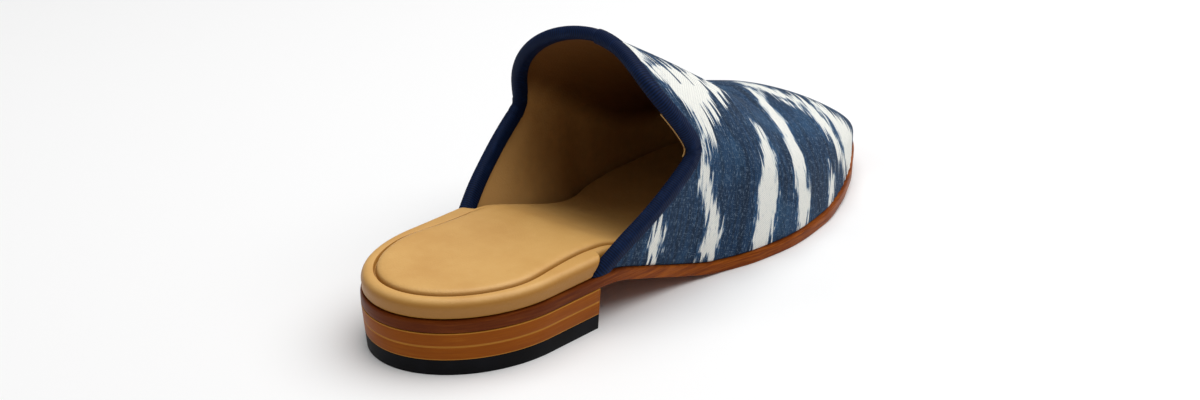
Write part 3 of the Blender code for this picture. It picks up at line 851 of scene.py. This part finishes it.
def dishing(points, onTop):
    # The sock is pressed hollow under the heel and rises a little under the arch.
    along = points[:, 1]
    across = (points[:, 0] - centreLine(along)) / np.maximum(halfWidth(along) - footbed["dishInset"], 1 * mm)
    inside = np.clip(1 - across**2, 0, 1) * smoothStep(footbed["dishFrom"], footbed["dishTo"], along)
    cupMiddle, cupReach = footbed["heelCup"]
    riseMiddle, riseReach, riseShare = footbed["archRise"]
    heelCup = np.exp(-(((along - cupMiddle) / cupReach) ** 2))
    archRise = riseShare * np.exp(-(((along - riseMiddle) / riseReach) ** 2)) * np.clip(-across, 0, 1)
    return np.where(onTop, footbed["dish"] * inside * (archRise - heelCup), 0)


footbedPoints, footbedFaces = ringSolid(rimRings, footbed["padRows"], crown=dishing, crownFrom=crownFrom)
pad = makePiece("padded_leather_footbed", footbedPoints, footbedFaces, footbedCalf, ["footbed"])
print("footbed made")


# The undyed motifs, charted as the cloth lies on the vamp. A row is how far down from the
# ridge, the motif's centre along the shoe and its half-width there, in mm.
outerMotifs = (
    ((0, 124, 2.5), (6, 122.5, 5), (12, 120.5, 6), (18, 117.5, 4.5), (25, 114.5, 1.5)),
    ((12, 169, 1), (15, 167.5, 8), (19, 161.5, 14.5), (22, 151, 21.5), (25, 143.5, 22.5), (28, 136, 21.5),
     (32, 132.5, 17.5), (36, 131.5, 14), (40, 131.5, 11.5), (43, 132.5, 9.5), (47, 132, 7), (51, 129, 4.5),
     (55, 126, 2), (60, 123, 0.8)),
    ((60, 123, 0.8), (65, 121, 2.5), (70, 122.5, 3), (76, 123.8, 3.1), (82, 126, 3.6), (88, 130, 4.6),
     (94, 133, 4.2), (100, 132.5, 3.8), (106, 131, 4.4), (114, 128, 5)),
    ((90, 99.5, 0.8), (95, 98.5, 3), (101, 99.3, 4.4), (106, 100.2, 4.5), (111, 100.6, 3.6),
     (116, 99.5, 3.4)),
    ((40, 165, 0.3), (46, 165.5, 2), (53, 164.5, 3), (61, 162, 4.4), (70, 160.3, 6.8), (76, 159.5, 5.6),
     (83, 160, 6.3), (88, 160, 6.5), (93, 158.8, 4.8), (99, 157.4, 4.2), (106, 155, 3.5)),
    ((4, 211, 1), (12, 206, 3), (24, 197, 3.6), (34, 191.5, 4), (45, 187.5, 4.4), (54, 185.5, 4.6),
     (60, 182, 4.4), (66, 182.3, 5), (72, 185, 6), (80, 187.3, 5.8), (86, 187, 3.8), (92, 182, 2.6)),
    ((-8, 221, 3), (0, 220, 6), (8, 221, 6.5), (15, 222.5, 6), (20, 225, 5.5), (25, 227.5, 5.2),
     (30, 228, 5.4), (37, 225, 5.2), (43, 222.5, 5), (48, 223, 5), (53, 226, 5), (58, 232, 5), (63, 236, 3)),
    ((20, 214, 0.3), (24, 215.5, 1.4), (28, 217.5, 0.3)),
    ((11, 244, 0.5), (17, 242, 3), (23, 241, 5), (29, 243, 7.5), (35, 246, 11), (40, 248, 15),
     (46, 249, 17), (56, 248, 14)),
    ((56, 211, 0.3), (60, 211, 1.6), (64, 212.8, 4.5), (68, 214, 4.8), (72, 214.5, 3.8), (76, 213.5, 3),
     (81, 211, 2.4)),
)
innerMotifs = (
    ((10, 152, 0), (15, 149, 6), (20, 143, 12), (26, 135, 17), (32, 129, 17), (37, 126, 15), (42, 124, 12),
     (47, 127, 8.5), (52, 127, 4), (57, 124, 1)),
    ((58, 121, 0.6), (64, 120, 3), (72, 122, 3.6), (80, 126, 4.2), (88, 129, 4.6), (96, 128, 4.4),
     (104, 125, 4), (114, 121, 4.6)),
    ((92, 98, 0.8), (98, 98, 2.4), (104, 100, 3.2), (110, 101, 2.6), (116, 99.5, 2.2)),
    ((44, 160, 0.4), (52, 160, 2.4), (60, 158, 4.6), (68, 157, 6.2), (78, 157.5, 5.6), (86, 156.5, 6),
     (94, 153.5, 4.4), (104, 151, 3.6)),
    ((6, 200, 0.6), (16, 195, 2.2), (28, 189, 2.8), (40, 185, 3.4), (50, 183, 4), (60, 182, 5),
     (68, 184, 5.6), (76, 184.5, 4.6), (86, 181.5, 3)),
    ((6, 236, 1), (12, 232, 3), (20, 229, 4), (28, 226, 4.6), (36, 224, 5), (44, 223, 4), (52, 222, 2)),
    ((12, 253, 2), (20, 250, 5), (30, 248, 6), (40, 247, 6.5), (50, 243, 5)),
    ((54, 205, 0.5), (60, 206, 3.2), (66, 207, 4.4), (72, 206, 3), (79, 203.5, 1.8)),
)
# The warp leans forward over the ridge from the instep on. Lengths are in mm; "ending" is how fast a
# motif narrows past its last row.
threads = {"reach": 60, "lean": 30, "from": 120, "to": 190, "ridgeRound": 6, "ending": 2.4, "outside": -40.0}


def threadPlace(u, v):
    start = smoothStep(threads["from"], threads["to"], u)
    near = np.clip(1 - np.hypot(v, threads["ridgeRound"]) / threads["reach"], 0, 1)
    return u - threads["lean"] * start * near**2


def motifField(u, v):
    # How far a place lies inside the nearest motif, in mm along the shoe.
    inside = np.full(u.shape, threads["outside"])
    for side, motifs in ((1, outerMotifs), (-1, innerMotifs)):
        for rows in motifs:
            downs, centres, halves = np.array(rows, float).T
            past = np.maximum(downs[0] - v * side, v * side - downs[-1]).clip(0)
            half = np.interp(v * side, downs, halves) - threads["ending"] * past
            inside = np.maximum(inside, half - np.abs(u - np.interp(v * side, downs, centres)))
    return inside


def motifShifted(u, v, step):
    # The motif where the thread through (u, v) lies a step further down.
    down, half = v + step, 0.5
    slope = (threadPlace(u + half, down) - threadPlace(u - half, down)) / (2 * half)
    return motifField(u + (threadPlace(u, v) - threadPlace(u, down)) / slope, down)


# Soft troughs across the cloth: place along, distance down from the ridge, length, half-width and
# depth in mm, turn in degrees.
clothTroughs = (
    (186, 4, 34, 4.5, 0.55, 78),
    (197, -6, 26, 4.0, 0.35, 84),
    (176, 16, 22, 4.0, 0.30, 70),
    (128, 62, 16, 3.0, 0.35, 10),
    (126, -62, 16, 3.0, 0.35, -10),
)
liningFolds = (
    (112, -66, 12, 2.2, 0.5, 60),
    (116, -72, 12, 2.0, 0.45, 40),
    (121, -58, 14, 2.2, 0.4, 75),
    (108, -84, 14, 2.4, 0.3, 50),
    (132, -50, 18, 3.0, 0.35, 65),
    (118, 66, 12, 2.2, 0.4, -50),
)
# Where the cloth is gathered round the toe, in mm.
puckers = {"spacing": 5.2, "depth": 0.16, "reach": 7.0, "from": 190, "over": 30}


def foldDepth(u, v, folds):
    depth = np.zeros(u.shape)
    for along, down, reach, half, deep, angle in folds:
        c, s = math.cos(math.radians(angle)), math.sin(math.radians(angle))
        run = (u - along) * c + (v - down) * s
        off = -(u - along) * s + (v - down) * c
        depth += deep * np.exp(-((run / reach) ** 2) - (off / half) ** 2)
    return depth


def vampGrid(columns, rows):
    # Rows of places from just inside the topline to the tip of the toe.
    turns = evenTurns(columns)
    pastBothEnds = np.linspace(-1.15, 1.15, 1200)
    startTurn, startAlong = edgeMoved(pastBothEnds, upper["edgeIn"])
    first = np.interp(turns, startTurn, startAlong)
    steps = np.linspace(0, 1, rows)
    even = upper["evenShare"]
    shares = even * steps + (1 - even) * np.sin(steps * math.pi / 2)
    along = first[None] + (upperEnd - upper["tip"] - first[None]) * shares[:, None]
    return np.broadcast_to(turns, along.shape), along


def addColumn(grid, column, side):
    parts = (column[:, None], grid) if side == 0 else (grid, column[:, None])
    return np.concatenate(parts, 1)


def shell(name, turn, along, outerDepth, innerDepth, material, tuck=False, replaces=()):
    normal = upperNormal(turn, along)
    face = upperSurface(turn, along)
    outer, inner = face - outerDepth * normal, face - innerDepth * normal
    u, v = clothPlace(turn, along)
    # The cloth turns in under itself at the feather edge.
    for side in (0, -1) if tuck else ():
        outwards = -1 if side == 0 else 1
        for inwards, down in upper["tuck"]:
            fold = outer[:, side] - normal[:, side] * inwards
            fold[:, 2] = outer[:, side, 2] - down
            under = inner[:, side].copy()
            under[:, 2] -= upper["liningDrop"] * down
            outer, inner = addColumn(outer, fold, side), addColumn(inner, under, side)
            u, v = addColumn(u, u[:, side], side), addColumn(v, v[:, side] + outwards, side)
    size = u.size
    points = np.concatenate([outer.reshape(-1, 3), inner.reshape(-1, 3)])
    at = np.arange(size).reshape(u.shape)
    a, b, c, d = (corner.ravel() for corner in (at[:-1, :-1], at[:-1, 1:], at[1:, 1:], at[1:, :-1]))
    faces = [*zip(a, b, c, d), *zip(size + a, size + d, size + c, size + b)]
    border = np.concatenate([at[0, :-1], at[:-1, -1], at[-1, :0:-1], at[:0:-1, 0]])
    faces += [(b, a, size + a, size + b) for a, b in zip(border, np.roll(border, -1))]
    # What the cloth's material reads: the thread through a place, and the motif before, at and after it.
    read = {
        "cloth": [threadPlace(u, v), v, np.zeros(u.shape)],
        "motif": [motifShifted(u, v, step) for step in (-ikat["reach"], 0, ikat["reach"])],
    }
    made = {key: np.tile(np.stack(parts, -1).reshape(-1, 3), (2, 1)) for key, parts in read.items()}
    makePiece(name, points, faces, material, replaces, sharp=60, attributes=made)


def fromFeather(u, v):
    outside = np.interp(u, chartAlong / mm, chartArc[:, -1] / mm)
    inside = np.interp(u, chartAlong / mm, -chartArc[:, 0] / mm)
    return np.where(v > 0, outside, inside) - np.abs(v)


def clothDepth(u, v):
    low = np.clip(1 - fromFeather(u, v) / puckers["reach"], 0, 1)
    gathered = np.clip((u - puckers["from"]) / puckers["over"], 0, 1)
    waves = np.sin(u * 2 * math.pi / puckers["spacing"]) * gathered
    return foldDepth(u, v, clothTroughs) + puckers["depth"] * low**2 * (1 + waves)


fine = 1.0
turn, along = vampGrid(int(upper["columns"] * fine) | 1, int(upper["rows"] * fine))
troughs = clothDepth(*clothPlace(turn, along)) * mm
shell("ikat_vamp", turn, along, troughs[..., None], upper["clothThickness"], ikatCotton, True, ["upper"])
turn, along = vampGrid(upper["liningColumns"], upper["liningRows"])
folds = foldDepth(*clothPlace(turn, along), liningFolds) * mm
shell("calf_vamp_lining", turn, along, upper["clothThickness"] + upper["liningGap"],
      last["wall"] - folds[..., None] * upper["foldsShare"], liningCalf)
print("vamp made")


binding = {
    "width": 6.2 * mm,
    "thick": 0.8 * mm,
    "bulge": 0.35 * mm,
    "clear": 0.12 * mm,
    "lip": (0.1 * mm, 0.2 * mm),
    "rim": (0.25 * mm, 0.35 * mm),
    "flat": (0.88, 0.45, 4),    # shares of the width, rows
    "crown": (0.36, 0.9, 15),   # share of the width, share of the bulge, rows
    "overSole": 0.05 * mm,
    "stations": 420,
    "reach": 1.03,
    "crowd": 2.0,
}
# turn, half-width in turns, share of the thickness: where the tape puckers at its lap and in the corners
tapeCreases = (
    (0.027, 0.007, 0.2), (0.588, 0.007, 0.16), (0.566, 0.005, 0.10), (0.612, 0.006, 0.08),
    (-0.588, 0.007, 0.16), (-0.562, 0.006, 0.12), (-0.615, 0.006, 0.08),
)
# The tape's end is lapped over its start at the top of the tongue, and thins out.
lap = {"from": 0.035, "to": 0.12, "stations": 40, "thick": 1.16, "thinning": 0.1}
# A thin edge of the lining shows under the tape at the outer corner.
bead = {"radius": 0.28 * mm, "from": 0.41, "to": 0.6, "stations": 60, "sides": 8, "depth": 0.5 * mm,
        "inwards": 2.15 * mm}


def tapeSection():
    # The folded tape cut across: how far in from the topline, and out from the middle of the wall.
    width, clear = binding["width"], last["wall"] / 2 + binding["clear"]
    outer = last["wall"] / 2 + last["gap"] + binding["thick"]
    lipOut, lipDrop = binding["lip"]
    rimIn, rimDrop = binding["rim"]
    half = [
        (width, clear),
        (width + lipOut, (clear + outer) / 2 - lipDrop),
        (width - rimIn, outer - rimDrop),
    ]
    for t in np.linspace(*binding["flat"]):
        half.append((width * t, outer + binding["bulge"] * math.sin(math.pi * t)))
    crownWidth, crownBulge, crownRows = binding["crown"]
    crown = []
    for a in np.radians(np.linspace(90, -90, crownRows)):
        height = (outer + binding["bulge"] * crownBulge) * math.sin(a)
        crown.append((width * crownWidth * (1 - math.cos(a)), height))
    mirrored = [(depth, -offset) for depth, offset in half[::-1]]
    thick = binding["thick"]
    inside = [(width / 2, -clear), (thick, -clear), (thick, clear), (width / 2, clear)]
    return half + crown + mirrored + inside


def runAlong(path):
    return np.concatenate([[0], np.cumsum(np.linalg.norm(np.diff(path, axis=0), axis=1))])


def sweep(name, turns, section, material, replaces=(), thickened=1.0):
    columns = []
    for depth, offset in section:
        turned, along = edgeMoved(turns, depth)
        offsets = offset * np.broadcast_to(thickened, turns.shape)
        columns.append(midWall(turned, along) + offsets[:, None] * upperNormal(turned, along))
    rings = np.stack(columns, 1)
    rings[..., 2] = np.maximum(rings[..., 2], soleTop(rings[..., 1]) + binding["overSole"])
    count = len(section)
    lastRing = (len(turns) - 1) * count
    faces = ringFaces(len(turns), count)
    faces.append(tuple(range(count))[::-1])
    faces.append(tuple(range(lastRing, lastRing + count)))
    # What the tape's material reads: how far along the tape and across it a place lies.
    place = np.zeros(rings.shape)
    place[..., 0] = runAlong(rings[:, 0])[:, None] / mm
    place[..., 1] = runAlong(rings[0])[None, :] / mm
    made = {"tape": place.reshape(-1, 3)}
    makePiece(name, rings.reshape(-1, 3), faces, material, replaces, sharp=50, attributes=made)


turns = evenTurns(binding["stations"], binding["reach"], binding["crowd"])
pinched = np.ones(len(turns))
for place, half, deep in tapeCreases:
    pinched -= deep * np.exp(-(((turns - place) / half) ** 2))
sweep("navy_topline_binding", turns, tapeSection(), navyTape, ["binding"], thickened=pinched)
lapTurns = np.linspace(lap["from"], lap["to"], lap["stations"])
thinned = lap["thick"] - lap["thinning"] * np.linspace(0, 1, lap["stations"]) ** 2
sweep("binding_lapped_end", lapTurns, tapeSection(), navyTape, thickened=thinned)
beadSection = []
for angle in np.linspace(0, 2 * math.pi, bead["sides"] + 1)[:-1]:
    beadSection.append((bead["depth"] + bead["radius"] * math.cos(angle),
                        -bead["inwards"] + bead["radius"] * math.sin(angle)))
beadTurns = np.linspace(bead["from"], bead["to"], bead["stations"])
sweep("lining_edge_bead", beadTurns, beadSection[::-1], liningCalf)
print("binding made")


# The photo's own view: degrees, metres, and the lens in mm.
camera = {"turn": 39.74, "rise": 22.36, "distance": 650 * mm, "target": (-2.7 * mm, -22.5 * mm, 30 * mm),
          "lookAt": (-2.6 * mm, -24.8 * mm, 25.7 * mm), "lens": 49.18, "clip": (0.01, 20)}


def placeFacing(thing, place, aim):
    thing.location = Vector(place)
    thing.rotation_euler = (Vector(aim) - thing.location).to_track_quat("-Z", "Y").to_euler()


turned, raised = math.radians(camera["turn"]), math.radians(camera["rise"])
level = math.cos(raised)
backwards = Vector((math.sin(turned) * level, -math.cos(turned) * level, math.sin(raised)))
cameraData = bpy.data.cameras.new("camera")
cameraData.lens = camera["lens"]
cameraData.clip_start, cameraData.clip_end = camera["clip"]
cameraObject = addObject("camera", cameraData)
placeFacing(cameraObject, Vector(camera["target"]) + backwards * camera["distance"], camera["lookAt"])
bpy.context.scene.camera = cameraObject

# A broad soft light from above and a weak one from behind the inner side: place, aim, size, watts.
softboxes = {
    "overhead_softbox": ((0.3, 0.4, 1.5), (0, 0, 0), 2.4, 33.5),
    "key_softbox": ((-0.9, -0.75, 1.15), (0, 0, 0.02), 0.6, 1.6),
}
for name, (place, aim, size, watts) in softboxes.items():
    lightData = bpy.data.lights.new(name, "AREA")
    lightData.shape, lightData.size, lightData.energy = "DISK", size, watts
    placeFacing(addObject(name, lightData), place, aim)

paper = {"white": "#F8F8F8", "reach": 6, "surround": "#FFFFFF", "surroundStrength": 0.23}
floorMaterial, _, floorShader = newMaterial("white_paper", Roughness=0.9, Specular_IOR_Level=0.1)
floorShader.inputs["Base Color"].default_value = hexColour(paper["white"])
floorMesh = bpy.data.meshes.new("paper_floor")
corners = [(x * paper["reach"], y * paper["reach"], 0) for x, y in ((-1, -1), (1, -1), (1, 1), (-1, 1))]
floorMesh.from_pydata(corners, [], [(0, 1, 2, 3)])
floorMesh.materials.append(floorMaterial)
addObject("paper_floor", floorMesh)

world = bpy.data.worlds.new("studio")
world.use_nodes = True
surround = world.node_tree.nodes["Background"]
surround.inputs["Color"].default_value = hexColour(paper["surround"])
surround.inputs["Strength"].default_value = paper["surroundStrength"]
bpy.context.scene.world = world
bpy.context.scene.view_settings.view_transform = "Standard"
print("camera and light set")
